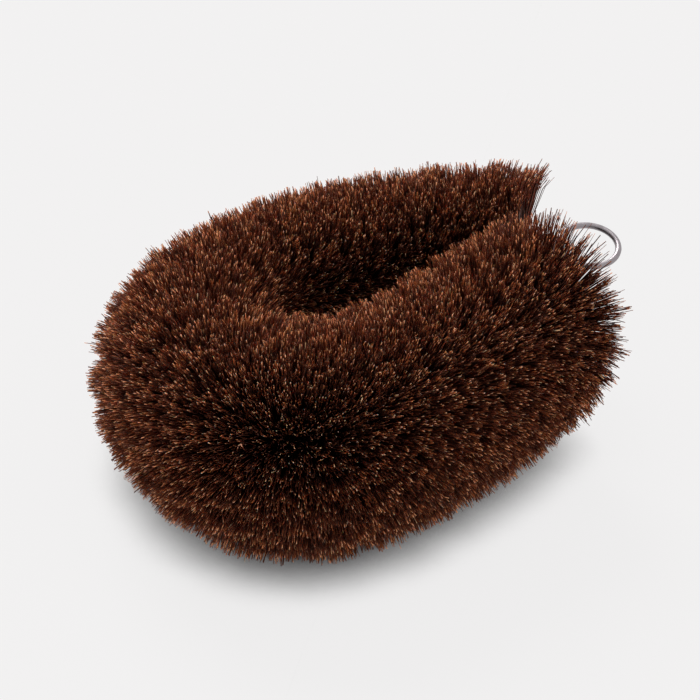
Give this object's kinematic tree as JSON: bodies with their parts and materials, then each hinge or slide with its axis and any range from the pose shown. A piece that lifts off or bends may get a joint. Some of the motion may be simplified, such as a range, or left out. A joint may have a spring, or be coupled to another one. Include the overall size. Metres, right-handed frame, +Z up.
{
  "type": "palm fibre scrub brush",
  "caption": "Hand scrub brush of stiff dark brown palm fibres twisted into a wire stem and bent into a teardrop, with a wire ring to hang it by.",
  "frame": {"origin": "on the surface that the brush lies on, under the middle of its box", "axes": "+X from the bend to the hanging ring, +Z up, +Y towards the longer arm"},
  "size_m": [0.1082, 0.078, 0.0396],
  "materials": {
    "palm_fibre": "dry stiff natural fibre, dark red-brown with coppery tips",
    "galvanised_wire": "drawn and galvanised, satin grey"
  },
  "bodies": {
    "root": {"core_wire": "galvanised_wire", "fibre_bundle_01": "palm_fibre", "fibre_bundle_02": "palm_fibre", "fibre_bundle_03": "palm_fibre", "fibre_bundle_04": "palm_fibre", "fibre_bundle_05": "palm_fibre", "fibre_bundle_06": "palm_fibre", "fibre_bundle_07": "palm_fibre", "fibre_bundle_08": "palm_fibre", "fibre_bundle_09": "palm_fibre", "fibre_bundle_10": "palm_fibre", "fibre_bundle_11": "palm_fibre", "fibre_bundle_12": "palm_fibre", "fibre_bundle_13": "palm_fibre", "fibre_bundle_14": "palm_fibre", "fibre_bundle_15": "palm_fibre", "fibre_bundle_16": "palm_fibre", "fibre_bundle_17": "palm_fibre", "fibre_bundle_18": "palm_fibre", "fibre_bundle_19": "palm_fibre", "fibre_bundle_20": "palm_fibre", "fibre_bundle_21": "palm_fibre", "fibre_bundle_22": "palm_fibre", "fibre_bundle_23": "palm_fibre", "fibre_bundle_24": "palm_fibre"}
  },
  "joints": []
}
